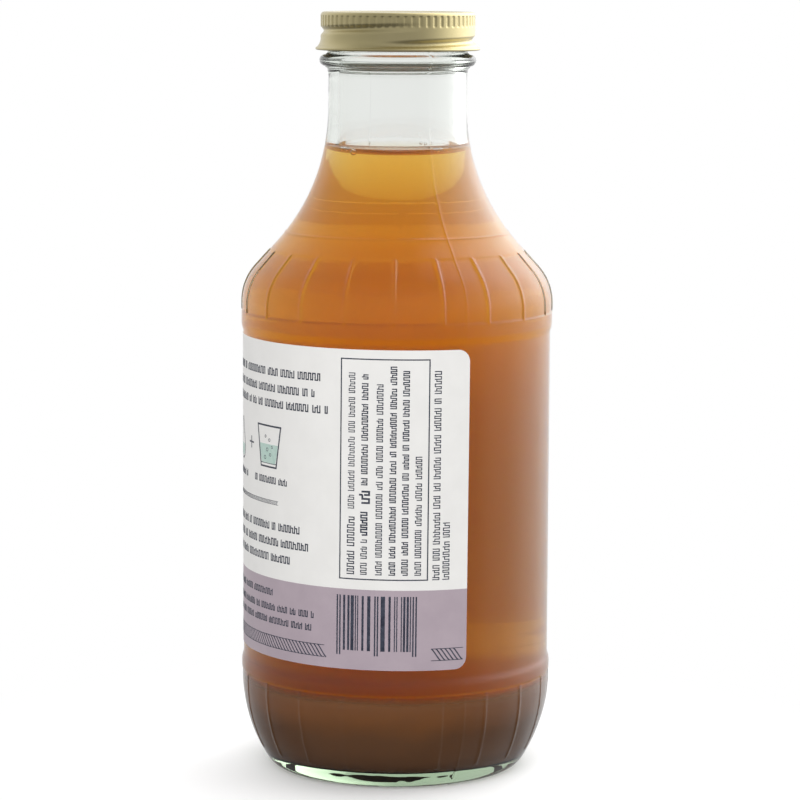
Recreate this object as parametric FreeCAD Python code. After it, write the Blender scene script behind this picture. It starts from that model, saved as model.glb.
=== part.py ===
import FreeCAD, Part
import os
from math import atan2, cos, degrees, radians, sin, sqrt

from FreeCAD import Vector

# A 16 oz glass "decanter" bottle of drinking vinegar, shut with a gold metal screw cap.
# Millimetres, +Z up, origin on the axis at the plane that the bottle stands on.
# Angles round the axis are degrees from -Y towards +X. The label's right-hand end is in front, at -Y.

# Glass body, from the base up
BODY_RADIUS = 38.8            # the two bumper bands, the widest places
HEEL_RECESS = 0.3             # how far the heel lies behind the bands
HEEL_HEIGHT = 22.4            # where the heel's curve becomes vertical
HEEL_CURVE = 36.9             # radius of the heel's curve, seen from the side
HEEL_CORNER = 4.6             # radius of the corner between the heel and the base
HEEL_STRAIGHT = 2.1           # from the heel's curve to the lower bumper band
HEEL_BAND = 2.7               # height of the lower bumper band
PANEL_HEIGHT = 84.3           # label panel, between the two bands
PANEL_RECESS = 0.5            # how far the label panel lies behind the bands
PANEL_STEP = 1.5              # height of the sloped step at each end of the panel
SHOULDER_BAND = 3.5           # height of the upper bumper band
SHOULDER_STRAIGHT = 2.0       # from the upper band to the start of the shoulder's curve
SHOULDER_CURVE = 13.5         # radius of the shoulder's outward curve
SHOULDER_SLOPE = 42.0         # slope of the cone above that curve, in degrees from vertical
SHOULDER_CONE = 8.0           # length of the cone, along its slope
NECK_RADIUS = 17.2
NECK_LENGTH = 10.1            # straight neck, from the shoulder's hollow curve up to the bead

# Glass thickness and base
WALL = 3.4
NECK_WALL = 2.6
BASE_THICKNESS = 4.8          # at the rim of the floor
FLOOR_CORNER = 6.0            # radius of the inside corner between wall and floor
FLOOR_DOME = 2.6              # rise of the floor towards its middle
PUSH_UP = 3.4                 # rise of the underside towards its middle
BEARING_WIDTH = 1.6           # flat ring that the bottle stands on

# Upright ribs moulded round the shoulder and the heel
RIB_COUNT = 20
RIB_ANGLE = -1.0              # degrees from -Y to the first rib
RIB_WIDTH = 0.9
RIB_HEIGHT = 0.25
SHOULDER_RIB_RISE = 15.1      # from the upper bumper band to the top of the shoulder's ribs
SHOULDER_PANEL_DEPTH = 0.15   # how far the glass between those ribs lies behind the shoulder above
HEEL_RIB_START = 5.5          # height where the heel's ribs begin; they end at the lower band

# Bead and finish, for a 38 mm cap with a continuous thread
BEAD_HEIGHT = 3.0
BEAD_PROJECTION = 2.25        # how far the bead stands out from the neck
FINISH_STEP = 0.25            # how far the root of the thread stands out from the neck
THREAD_DEPTH = 1.05
THREAD_HEIGHT = 1.7
THREAD_PITCH = 4.23
THREAD_TURNS = 1.0            # of the glass thread and of the cap's own thread
THREAD_FOOT = 4.67            # from the bead to the middle of the thread's lower end
THREAD_HEAD = 1.2             # from the middle of its upper end to the sealing lip
LIP_ROUNDING = 0.9

# Cap of thin lacquered sheet
CAP_CLEARANCE = 0.3           # between the glass thread and the cap's wall
CAP_SHEET = 0.3
CAP_LIFT = 1.0                # from the bead to the cap's lower edge
CAP_CORNER = 0.9
CURL_PROJECTION = 1.3         # how far the rolled edge stands out from the wall
CURL_THICKNESS = 0.9
KNURL_COUNT = 64
KNURL_DEPTH = 0.15
KNURL_RADIUS = 0.7            # each knurl is a round-bottomed groove
KNURL_DROP = 0.9              # below the top of the cap
KNURL_HEIGHT = 2.6
GROOVE_DEPTH = 0.75           # the cap's own thread is rolled in: a groove outside, a bead inside
GROOVE_HEIGHT = 1.5
GROOVE_ANGLE = 0.0            # degrees from -Y to the lower end of both threads

# Contents
HEADSPACE = 33.1              # from the sealing lip down to the drink
SEDIMENT_DEPTH = 17.2         # cloudy layer settled on the floor, measured above the floor's rim

# Wrap label on the panel
LABEL_THICKNESS = 0.1
LABEL_LENGTH = 187.0
LABEL_END = 27.0              # degrees from -Y to the right-hand end
LABEL_LOWER_GAP = 3.9         # bare glass between the lower band and the label
LABEL_UPPER_GAP = 2.5
LABEL_CORNER = 3.0

# Heights that follow from the sizes above
HEEL_BAND_BOTTOM = HEEL_HEIGHT + HEEL_STRAIGHT
PANEL_BOTTOM = HEEL_BAND_BOTTOM + HEEL_BAND
PANEL_TOP = PANEL_BOTTOM + PANEL_HEIGHT
SHOULDER_BOTTOM = PANEL_TOP + SHOULDER_BAND

AXIS = Vector(0, 0, 1)
ORIGIN = Vector(0, 0, 0)
JOIN_TOLERANCE = 1e-6         # ends nearer than this are one point


def at(radius, height):
    """A point of the half section, which lies in the XZ plane."""
    return Vector(radius, 0, height)


def line(start, end):
    return Part.LineSegment(start, end).toShape()


def arc(centre, radius, first, last):
    """An arc of the half section, with its angles in degrees from outward towards up."""
    turns = (first, (first + last) / 2, last)
    points = [centre + at(radius * cos(radians(a)), radius * sin(radians(a))) for a in turns]
    return Part.Arc(*points).toShape()


def start_of(piece):
    """Where a piece of an outline starts: an arc's first end, or a corner point itself."""
    return piece if isinstance(piece, Vector) else piece.valueAt(piece.FirstParameter)


def end_of(piece):
    return piece if isinstance(piece, Vector) else piece.valueAt(piece.LastParameter)


def spun(pieces):
    """Solid of revolution of an outline: arcs and corner points in order, joined by straight lines."""
    edges = []
    for piece, following in zip(pieces, pieces[1:] + pieces[:1]):
        if not isinstance(piece, Vector):
            edges.append(piece)
        if end_of(piece).distanceToPoint(start_of(following)) > JOIN_TOLERANCE:
            edges.append(line(end_of(piece), start_of(following)))
    return Part.Face(Part.Wire(edges)).revolve(ORIGIN, AXIS, 360)


def turned(shape, angle):
    """A copy of a shape made at +X, turned to stand at an angle from -Y."""
    copy = shape.copy()
    copy.rotate(ORIGIN, AXIS, angle - 90)
    return copy


def wedge(radius, low, high, start, sweep):
    """A sector of a disc between two heights, from the angle `start` over `sweep` degrees."""
    sector = Part.makeCylinder(radius, high - low, at(0, low), AXIS, sweep)
    return turned(sector, start)


def heel(body_radius, curve, corner, floor):
    """Corner and heel arcs, from the flat of the base or floor up to the vertical side."""
    centre = at(body_radius - curve, HEEL_HEIGHT)
    reach = curve - corner
    drop = HEEL_HEIGHT - floor - corner
    across = sqrt(reach ** 2 - drop ** 2)
    meeting = -degrees(atan2(drop, across))
    corner_centre = at(centre.x + across, floor + corner)
    return [arc(corner_centre, corner, -90, meeting), arc(centre, curve, meeting, 0)]


def shoulder(body_radius, curve, neck_radius):
    """Outward arc, cone and hollow arc, each tangent to the next, from the side up to the neck."""
    slope = radians(SHOULDER_SLOPE)
    outward = at(cos(slope), sin(slope))
    upward = at(-sin(slope), cos(slope))
    centre = at(body_radius - curve, SHOULDER_BOTTOM + SHOULDER_STRAIGHT)
    cone_top = centre + outward * curve + upward * SHOULDER_CONE
    hollow = (cone_top.x - neck_radius) / (1 - cos(slope))
    hollow_centre = cone_top + outward * hollow
    return [
        arc(centre, curve, 0, SHOULDER_SLOPE),
        arc(hollow_centre, hollow, 180 + SHOULDER_SLOPE, 180),
    ]


def dome(rim_radius, rim_height, rise):
    """Arc of a dome over the axis, from its top out to its rim."""
    radius = (rim_radius ** 2 + rise ** 2) / (2 * rise)
    centre = at(0, rim_height + rise - radius)
    return arc(centre, radius, 90, 90 - degrees(atan2(rim_radius, radius - rise)))


def outer_heel(grow=0.0):
    """The heel's arcs on the outside of the glass, or on a surface `grow` outside it."""
    return heel(BODY_RADIUS - HEEL_RECESS + grow, HEEL_CURVE + grow, HEEL_CORNER + grow, -grow)


def outer_shoulder(grow=0.0):
    return shoulder(BODY_RADIUS + grow, SHOULDER_CURVE + grow, NECK_RADIUS + grow)


# Heights and radii of the finish and the cap; the cap's groove lies half a pitch below the thread
BEAD_BOTTOM = end_of(outer_shoulder()[-1]).z + NECK_LENGTH
BEAD_TOP = BEAD_BOTTOM + BEAD_HEIGHT
THREAD_LEVEL = BEAD_TOP + THREAD_FOOT
LIP = THREAD_LEVEL + THREAD_PITCH * THREAD_TURNS + THREAD_HEAD
FILL_LEVEL = LIP - HEADSPACE
FINISH_RADIUS = NECK_RADIUS + FINISH_STEP
CAP_RADIUS = FINISH_RADIUS + THREAD_DEPTH + CAP_CLEARANCE + CAP_SHEET
CAP_TOP = LIP + CAP_SHEET
CAP_BOTTOM = BEAD_TOP + CAP_LIFT
GROOVE_LEVEL = THREAD_LEVEL - THREAD_PITCH / 2


def body_outline():
    """Outside of the glass without thread and ribs, from the axis underneath to the axis above."""
    contact = start_of(outer_heel()[0]).x
    panel_radius = BODY_RADIUS - PANEL_RECESS
    bead = BEAD_HEIGHT / 2
    return [
        dome(contact - BEARING_WIDTH, 0, PUSH_UP),
        *outer_heel(),
        at(BODY_RADIUS - HEEL_RECESS, HEEL_BAND_BOTTOM),
        at(BODY_RADIUS, HEEL_BAND_BOTTOM + HEEL_RECESS),
        at(BODY_RADIUS, PANEL_BOTTOM),
        at(panel_radius, PANEL_BOTTOM + PANEL_STEP),
        at(panel_radius, PANEL_TOP - PANEL_STEP),
        at(BODY_RADIUS, PANEL_TOP),
        *outer_shoulder(),
        at(NECK_RADIUS, BEAD_BOTTOM),
        arc(at(NECK_RADIUS + BEAD_PROJECTION - bead, BEAD_BOTTOM + bead), bead, -90, 90),
        at(FINISH_RADIUS, BEAD_TOP),
        arc(at(FINISH_RADIUS - LIP_ROUNDING, LIP - LIP_ROUNDING), LIP_ROUNDING, 0, 90),
        at(0, LIP),
    ]


def cavity_outline():
    """Inside of the glass, from the axis at the floor up to the lip and back to the axis."""
    heel_arcs = heel(BODY_RADIUS - WALL, HEEL_CURVE - WALL, FLOOR_CORNER, BASE_THICKNESS)
    rim = start_of(heel_arcs[0]).x
    bore = NECK_RADIUS - NECK_WALL
    shoulder_arcs = shoulder(BODY_RADIUS - WALL, SHOULDER_CURVE - WALL, bore)
    mouth = arc(at(bore + LIP_ROUNDING, LIP - LIP_ROUNDING), LIP_ROUNDING, 180, 90)
    return [dome(rim, BASE_THICKNESS, FLOOR_DOME), *heel_arcs, *shoulder_arcs, mouth, at(0, LIP)]


def grown_body(grow):
    """A plain solid whose side lies `grow` outside the heel and the shoulder."""
    return spun([at(0, 0), *outer_heel(grow), *outer_shoulder(grow), at(0, LIP)])


def ribs(low, high, grow):
    """A ring of upright ribs between two heights, `grow` proud of the heel and the shoulder."""
    blade = Part.makeBox(BODY_RADIUS, RIB_WIDTH, high - low, Vector(BODY_RADIUS / 2, -RIB_WIDTH / 2, low))
    pitch = 360 / RIB_COUNT
    blades = [turned(blade, RIB_ANGLE + index * pitch) for index in range(RIB_COUNT)]
    return Part.Compound(blades).common(grown_body(grow))


def make_ribbed(glass):
    """The shoulder's panels are cut back, then both rings of ribs are added."""
    top = SHOULDER_BOTTOM + SHOULDER_RIB_RISE
    band = Part.makeCylinder(2 * BODY_RADIUS, SHOULDER_RIB_RISE, at(0, SHOULDER_BOTTOM), AXIS)
    glass = glass.cut(band.cut(grown_body(-SHOULDER_PANEL_DEPTH)))
    shoulder_ribs = ribs(SHOULDER_BOTTOM, top, RIB_HEIGHT - SHOULDER_PANEL_DEPTH)
    heel_ribs = ribs(HEEL_RIB_START, HEEL_BAND_BOTTOM, RIB_HEIGHT)
    return glass.fuse(shoulder_ribs.Solids + heel_ribs.Solids)


def helix_tube(radius, depth, height, level, grow=0.0):
    """A round rod wound up the axis as a thread, where it starts at a `level`.

    Its section reaches `depth` inwards of `radius`, or outwards where that is negative, and is
    `height` tall at `radius`. `grow` thickens the rod.
    """
    rod = ((height / 2) ** 2 + depth ** 2) / (2 * abs(depth))
    middle = radius - depth + (rod if depth > 0 else -rod)
    path = Part.makeHelix(THREAD_PITCH, THREAD_PITCH * THREAD_TURNS, middle)
    section = Part.Wire(Part.makeCircle(rod + grow, Vector(middle, 0, 0), Vector(0, 1, 0)))
    tube = Part.Wire(path).makePipeShell([section], True, True)
    tube.translate(Vector(0, 0, level))
    return turned(tube, GROOVE_ANGLE)


def make_bottle():
    glass = spun(body_outline())
    thread = helix_tube(FINISH_RADIUS, -THREAD_DEPTH, THREAD_HEIGHT, THREAD_LEVEL)
    return make_ribbed(glass.fuse(thread)).cut(spun(cavity_outline()))


def make_contents(low, high):
    """The part of the inside between two heights, cut round the domed floor."""
    layer = Part.makeCylinder(BODY_RADIUS, high - low, at(0, low), AXIS)
    return spun(cavity_outline()).common(layer)


def make_cap():
    inner_radius = CAP_RADIUS - CAP_SHEET
    inner_corner = CAP_CORNER - CAP_SHEET
    corner_level = CAP_TOP - CAP_CORNER
    curl = CURL_THICKNESS / 2
    curl_radius = CAP_RADIUS + CURL_PROJECTION
    sheet = spun([
        at(0, CAP_TOP - CAP_SHEET),
        arc(at(inner_radius - inner_corner, corner_level), inner_corner, 90, 0),
        at(inner_radius, CAP_BOTTOM),
        arc(at(curl_radius - curl, CAP_BOTTOM + curl), curl, -90, 90),
        at(CAP_RADIUS, CAP_BOTTOM + CURL_THICKNESS),
        arc(at(CAP_RADIUS - CAP_CORNER, corner_level), CAP_CORNER, 0, 90),
        at(0, CAP_TOP),
    ])
    inside = Part.makeCylinder(CAP_RADIUS - CAP_SHEET / 2, CAP_TOP - CAP_BOTTOM, at(0, CAP_BOTTOM), AXIS)
    groove = helix_tube(CAP_RADIUS, GROOVE_DEPTH, GROOVE_HEIGHT, GROOVE_LEVEL)
    bead = helix_tube(CAP_RADIUS, GROOVE_DEPTH, GROOVE_HEIGHT, GROOVE_LEVEL, CAP_SHEET).common(inside)
    return sheet.fuse(bead).cut(groove).cut(knurls())


def knurls():
    """The ring of upright grooves below the top edge of the cap."""
    centre = CAP_RADIUS + KNURL_RADIUS - KNURL_DEPTH
    low = CAP_TOP - KNURL_DROP - KNURL_HEIGHT
    groove = Part.makeCylinder(KNURL_RADIUS, KNURL_HEIGHT, at(centre, low), AXIS)
    return Part.Compound([turned(groove, 360 * index / KNURL_COUNT) for index in range(KNURL_COUNT)])


def make_label():
    """Paper wrapped round the panel, with its corners rounded."""
    inner = BODY_RADIUS - PANEL_RECESS
    low = PANEL_BOTTOM + LABEL_LOWER_GAP
    high = PANEL_TOP - LABEL_UPPER_GAP
    sweep = degrees(LABEL_LENGTH / inner)
    strip = wedge(inner + LABEL_THICKNESS, low, high, LABEL_END - sweep, sweep)
    strip = strip.cut(Part.makeCylinder(inner, high - low, at(0, low), AXIS))
    for angle, side in ((LABEL_END, -1), (LABEL_END - sweep, 1)):
        for level, up in ((low, 1), (high, -1)):
            strip = strip.cut(label_corner(angle, side, level, up))
    return strip


def label_corner(angle, side, level, up):
    """What rounds off a corner; `side` and `up` point from the corner into the label."""
    reach = BODY_RADIUS + LABEL_CORNER
    size = 2 * LABEL_CORNER
    block = Part.makeBox(reach, size, size, Vector(0, -LABEL_CORNER, level - LABEL_CORNER))
    centre = Vector(0, side * LABEL_CORNER, level + up * LABEL_CORNER)
    return turned(block.cut(Part.makeCylinder(LABEL_CORNER, reach, centre, Vector(1, 0, 0))), angle)


def main():
    os.makedirs("parts", exist_ok=True)
    floor_level = BASE_THICKNESS + SEDIMENT_DEPTH
    nodes = {
        "bottle": make_bottle(),
        "drink": make_contents(floor_level, FILL_LEVEL),
        "sediment": make_contents(0, floor_level),
        "cap": make_cap(),
        "label": make_label(),
    }
    for name, shape in nodes.items():
        solids = shape.Solids
        print(name, "solids", len(solids), "valid", shape.isValid(), "ml", round(shape.Volume / 1000, 2))
        Part.Compound(solids).exportStep("parts/" + name + ".step")


main()
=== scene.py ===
import random
from math import asin, atan2, ceil, cos, degrees, exp, pi, radians, sin, sqrt

import bpy
import numpy as np
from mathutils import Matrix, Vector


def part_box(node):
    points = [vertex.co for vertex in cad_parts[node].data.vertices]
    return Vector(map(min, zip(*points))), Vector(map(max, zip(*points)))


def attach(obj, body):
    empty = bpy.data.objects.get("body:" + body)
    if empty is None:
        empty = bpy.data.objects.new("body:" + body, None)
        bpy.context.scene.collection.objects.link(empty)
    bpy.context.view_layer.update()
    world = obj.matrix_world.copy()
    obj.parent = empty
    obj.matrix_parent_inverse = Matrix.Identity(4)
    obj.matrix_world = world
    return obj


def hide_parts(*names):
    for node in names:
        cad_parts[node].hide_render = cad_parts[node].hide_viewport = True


# A 16 oz glass bottle of drinking vinegar with a gold screw cap and a wrap label.
# Sizes are in millimetres, and meshes in metres. Outlines are half sections (radius, height), and
# print is placed by (place along the paper, height). Angles round the axis are degrees from -Y
# towards +X.

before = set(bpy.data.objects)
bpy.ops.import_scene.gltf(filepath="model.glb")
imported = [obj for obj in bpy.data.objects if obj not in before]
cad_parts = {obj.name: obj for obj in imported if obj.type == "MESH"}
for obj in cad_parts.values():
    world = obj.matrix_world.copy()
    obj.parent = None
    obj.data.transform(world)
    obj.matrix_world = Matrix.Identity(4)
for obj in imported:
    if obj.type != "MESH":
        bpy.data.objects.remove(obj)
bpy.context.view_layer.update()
MM = 0.001


def extent(node):
    """Lowest and highest corner of a CAD node, in millimetres."""
    low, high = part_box(node)
    return np.array(low) / MM, np.array(high) / MM


# Sizes that the frame gives
RIB_PROUD = 0.1  # how far the ribs stand out past the side
BODY_RADIUS = extent("bottle")[1][0] - RIB_PROUD
LIP = extent("bottle")[1][2]
SEDIMENT_TOP = extent("sediment")[1][2]
FILL_LEVEL = extent("drink")[1][2]
CAP_BOTTOM, CAP_TOP = extent("cap")[0][2], extent("cap")[1][2]
LABEL_LOW, LABEL_HIGH = extent("label")[0][2], extent("label")[1][2]
LABEL_RADIUS = extent("label")[1][1]

# Glass, from the base up
HEEL_RECESS = 0.3
HEEL_HEIGHT = 22.4
HEEL_CURVE = 36.9
HEEL_CORNER = 4.6
BAND_ROUNDING = (0.2, 0.7)  # at the heel's small step, and at the label panel's two steps
LOWER_BAND = (24.5, 27.2)
UPPER_BAND = (111.5, 115.0)
BAND_ROWS = (26.0, 113.6)  # heights on the two bands, between their rounded steps
PANEL_RECESS = 0.5
PANEL_STEP = 1.5
PANEL_ROWS = (50, 70, 90)  # heights between the steps, for the glass's slight waves
SHOULDER_START = 117.0
SHOULDER_CURVE = 13.5
SHOULDER_SLOPE = 42.0
SHOULDER_CONE = 8.0
NECK_RADIUS = 17.2
NECK_FLARE = 0.3  # the neck widens a little just under the bead,
FLARE_START = 2.6  # from this far below it
BEAD = (175.37, 178.37)
BEAD_PROJECTION = 2.25
FINISH_STEP = 0.25
LIP_ROUNDING = 0.9
PUSH_UP = 3.4
BEARING_WIDTH = 1.6

# Inside of the glass
WALL = 3.4
NECK_WALL = 2.6
BASE_THICKNESS = 4.8
FLOOR_CORNER = 6.0
FLOOR_DOME = 2.6

# Relief on the glass
RIB_COUNT = 20
RIB_ANGLE = -1.0
RIB_WIDTH = 0.9
RIB_HEIGHT = 0.28
HEEL_RIB_HEIGHT = 0.16
RIB_EDGE = 0.22  # over which a rib's side rises
SHOULDER_RIBS = (115.0, 130.1)
SHOULDER_PANEL_DEPTH = RIB_HEIGHT - RIB_PROUD
HEEL_RIBS = (5.5, 24.5)
MOULD_LINE = 134.5  # the joint of the mould's halves shows as a fine ridge round the shoulder
MOULD_LINE_HEIGHT = 0.15
MOULD_LINE_REACH = 0.22
SEAM_ANGLES = (26.0, 206.0)  # and as two upright ridges
SEAM_HEIGHT = 0.1
SEAM_WIDTH = 0.5
STIPPLE_COUNT = 82  # fine ridges on the ring that the bottle stands on
STIPPLE_DEPTH = 0.22
STIPPLE_INSIDE = 26.5  # radius inside which the base is smooth
ROW_GAP = 0.15  # between the outline's rows at the edge of a relief
WAVINESS = 0.035  # how far blown glass strays from its mould's shape
THREAD = dict(level=183.04, pitch=4.23, height=1.7, depth=1.05)

# Contents
SEATING = 0.3  # how far the drink reaches into the wall
MENISCUS_RISE = 1.9
MENISCUS_REACH = 1.3
SEDIMENT_FILM = 2.4  # how far the settled cloud climbs the wall past its top
STUCK_RING = (15.5, 18.0)  # where the layer clings to the glass floor, and shows through it
STUCK_SHIFT = 0.04  # how far inside the glass it lies elsewhere, and beyond it there
DRINK_DEPTH = 4.0  # how far the drink reaches down into the layer,
DRINK_INSET = 1.2  # and how far its foot there draws in from the wall

# Refractive indices
GLASS_INDEX = 1.52
DRINK_INDEX = 1.345
SUNK_INDEX = 1.05  # of the glass floor against the settled layer, which dulls it
FILM_INDEX = 0.75  # of a bubble's inside against the drink

# Cap
CAP_WALL = 19.1
CAP_SHEET = 0.3
CAP_CORNER = 0.9
CAP_RIM = 16.6  # radius inside which the top is sunk,
CAP_SINK = 0.2  # by this much
CURL_RADIUS = 20.4
CURL_THICKNESS = 0.75
FLARE_HEIGHT = 2.3
KNURL_COUNT = 64
KNURL_DEPTH = 0.2
KNURL_SHARE = 0.46  # of the round that the grooves take
KNURL_BAND = (0.9, 3.5)  # below the top of the cap
GROOVE = dict(level=180.92, pitch=4.23, reach=1.25, depth=0.75)
GROOVE_FADES = (-31.0, 25.0, 325.0, 384.0)

# Label, measured along the paper from the front, right is positive
LABEL_THICKNESS = 0.15  # with 0.05 of it in the glass, as glued paper has no air behind it
LABEL_ENDS = (-168.9, 18.1)
LABEL_CORNER = 3.0
LABEL_TILT = 0.007  # the label is a little askew
TILT_ENDS_AT = -60.0
BAND_TOP = 50.8  # the lilac field reaches up to here
INK_LIFT = 0.02
INK_DEPTH = 0.03


# ---------------- outlines

def around(level):
    """Heights close above and below a level, where an outline needs more rows."""
    return [level + ROW_GAP * k for k in range(-3, 4)]


def arc(centre, radius, first, last, step=4.0, levels=()):
    """Points of an arc from `first` to `last` degrees (0 outward, 90 up), with rows at `levels`."""
    count = max(2, ceil(abs(last - first) / step))
    angles = list(np.linspace(first, last, count + 1))
    low, high = min(first, last), max(first, last)
    for level in levels:
        sine = (level - centre[1]) / radius
        if abs(sine) < 1:
            right = degrees(asin(sine))
            angles += [a for a in (right, 180 - right) if low < a < high]
    angles = sorted(set(round(float(a), 4) for a in angles), reverse=last < first)
    return [(centre[0] + radius * cos(radians(a)), centre[1] + radius * sin(radians(a))) for a in angles]


def bend(before, corner, after, reach, count=4):
    """A corner rounded off over `reach` each way, as a quadratic curve."""
    before, corner, after = (np.array(p, float) for p in (before, corner, after))
    start = corner + (before - corner) * reach / np.linalg.norm(before - corner)
    end = corner + (after - corner) * reach / np.linalg.norm(after - corner)
    shares = np.linspace(0, 1, count + 1)
    return [tuple((1 - t) ** 2 * start + 2 * t * (1 - t) * corner + t * t * end) for t in shares]


def rounded(corners, reach):
    """A polyline with its inner corners rounded."""
    points = [corners[0]]
    for before, corner, after in zip(corners, corners[1:], corners[2:]):
        points += bend(before, corner, after, reach)
    return points + [corners[-1]]


def dome(rim_radius, rim_height, rise, count=14):
    """From the axis out to the rim of a shallow dome."""
    radius = (rim_radius ** 2 + rise ** 2) / (2 * rise)
    spread = degrees(atan2(rim_radius, radius - rise))
    return arc((0, rim_height + rise - radius), radius, 90, 90 - spread, spread / count)


def joined(*parts):
    """One outline from several, without repeated points."""
    points = []
    for part in parts:
        for point in part:
            if not points or np.hypot(point[0] - points[-1][0], point[1] - points[-1][1]) > 1e-4:
                points.append((float(point[0]), float(point[1])))
    return points


def heel(side, curve, corner, floor, step=3.0, levels=()):
    """Corner and heel arcs, from the base or floor up to the vertical side."""
    centre = (side - curve, HEEL_HEIGHT)
    reach = curve - corner
    drop = HEEL_HEIGHT - floor - corner
    across = sqrt(reach ** 2 - drop ** 2)
    meeting = -degrees(atan2(drop, across))
    small = arc((centre[0] + across, floor + corner), corner, -90, meeting, 3 * step)
    return joined(small, arc(centre, curve, meeting, 0, step, levels))


def shoulder(side, curve, neck, step=3.0, levels=()):
    """Outward arc, cone and hollow arc, from the side up to the neck."""
    slope = radians(SHOULDER_SLOPE)
    outward = np.array([cos(slope), sin(slope)])
    upward = np.array([-sin(slope), cos(slope)])
    centre = np.array([side - curve, SHOULDER_START])
    cone_foot = centre + outward * curve
    cone_top = cone_foot + upward * SHOULDER_CONE
    hollow = (cone_top[0] - neck) / (1 - cos(slope))
    on_cone = sorted(level for level in levels if cone_foot[1] < level < cone_top[1])
    share = [(level - cone_foot[1]) / (cone_top[1] - cone_foot[1]) for level in on_cone]
    cone = [tuple(cone_foot + (cone_top - cone_foot) * s) for s in share]
    return joined(
        arc(centre, curve, 0, SHOULDER_SLOPE, step, levels),
        cone,
        arc(cone_top + outward * hollow, hollow, 180 + SHOULDER_SLOPE, 180, step * 0.7, levels),
    )


def rising(radius, levels):
    """A straight side with rows at the given heights."""
    return [(radius, level) for level in sorted(levels)]


def cavity(grow=0.0):
    """Inside of the glass, from the axis at the floor up to the neck's bore, `grow` into the glass."""
    side = BODY_RADIUS - WALL
    floor = heel(side + grow, HEEL_CURVE - WALL + grow, FLOOR_CORNER + grow, BASE_THICKNESS - grow)
    return joined(
        dome(floor[0][0], floor[0][1], FLOOR_DOME),
        floor,
        rising(side + grow, (40, 78, 108)),
        shoulder(side + grow, SHOULDER_CURVE - WALL + grow, NECK_RADIUS - NECK_WALL + grow,
                 levels=[FILL_LEVEL]),
    )


def glass_outline():
    """The whole section of the glass: underside, outside, lip and inside."""
    recessed = BODY_RADIUS - HEEL_RECESS
    panel = BODY_RADIUS - PANEL_RECESS
    base = heel(recessed, HEEL_CURVE, HEEL_CORNER, 0, 2.5, around(HEEL_RIBS[0]))
    contact = base[0][0]
    middle = (BEAD[0] + BEAD[1]) / 2
    bead = (BEAD[1] - BEAD[0]) / 2
    finish = NECK_RADIUS + FINISH_STEP
    bore = NECK_RADIUS - NECK_WALL
    band = (BODY_RADIUS, BAND_ROWS[0])
    step = rounded([
        (recessed, HEEL_HEIGHT),
        (recessed, LOWER_BAND[0]),
        (BODY_RADIUS, LOWER_BAND[0] + HEEL_RECESS),
        band,
    ], BAND_ROUNDING[0])
    side = rounded([
        band,
        (BODY_RADIUS, LOWER_BAND[1]),
        (panel, LOWER_BAND[1] + PANEL_STEP),
        *rising(panel, PANEL_ROWS),
        (panel, UPPER_BAND[0] - PANEL_STEP),
        (BODY_RADIUS, UPPER_BAND[0]),
        (BODY_RADIUS, BAND_ROWS[1]),
    ], BAND_ROUNDING[1])
    details = around(SHOULDER_RIBS[1]) + around(MOULD_LINE)
    upper = shoulder(BODY_RADIUS, SHOULDER_CURVE, NECK_RADIUS, 2.6, details)
    neck = rising(NECK_RADIUS, (upper[-1][1] + 3, upper[-1][1] + 6, BEAD[0] - FLARE_START))
    throat = bend((NECK_RADIUS, BEAD[0] - FLARE_START), (NECK_RADIUS + NECK_FLARE, BEAD[0] - 0.4),
                  (NECK_RADIUS + 1.5, BEAD[0]), 0.6)
    ring = arc((NECK_RADIUS + BEAD_PROJECTION - bead, middle), bead, -90, 90, 12)
    root = rising(finish, np.linspace(BEAD[1] + 0.4, LIP - LIP_ROUNDING, 20))
    return joined(
        dome(contact - BEARING_WIDTH, 0, PUSH_UP),
        [(contact - BEARING_WIDTH * share, 0) for share in (0.7, 0.35)],
        base, step, side, rising(BODY_RADIUS, around(SHOULDER_RIBS[0])), upper, neck, throat, ring, root,
        arc((finish - LIP_ROUNDING, LIP - LIP_ROUNDING), LIP_ROUNDING, 0, 90, 20),
        arc((bore + LIP_ROUNDING, LIP - LIP_ROUNDING), LIP_ROUNDING, 90, 180, 20),
        cavity()[::-1],
    )


# ---------------- relief

def smooth(edge_low, edge_high, value):
    """0 below one edge, 1 above the other, and an S-curve between them."""
    share = np.clip((value - edge_low) / (edge_high - edge_low), 0, 1)
    return share * share * (3 - 2 * share)


def window(value, low, high, edge):
    """1 between two values, 0 outside them, eased over `edge`."""
    half = edge / 2
    return smooth(low - half, low + half, value) * (1 - smooth(high - half, high + half, value))


def wrapped(angle, pitch=360.0):
    """An angle's distance from the nearest multiple of `pitch`, in degrees."""
    return (angle + pitch / 2) % pitch - pitch / 2


def helix(height, angle, level, pitch, reach, first, last):
    """Distance share (0 in the middle, 1 at the edge) and angle along a thread that rises from `level`."""
    shape = np.broadcast(height, angle).shape
    share, place = np.full(shape, 9.0), np.zeros(shape)
    for turn in (-1, 0, 1):
        along = angle + 360 * turn
        off = np.abs(height - level - pitch * along / 360) / reach + 0 * along
        near = (off < share) & (along >= first) & (along <= last)
        share = np.where(near, off, share)
        place = np.where(near, along + 0 * height, place)
    return share, place


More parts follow.
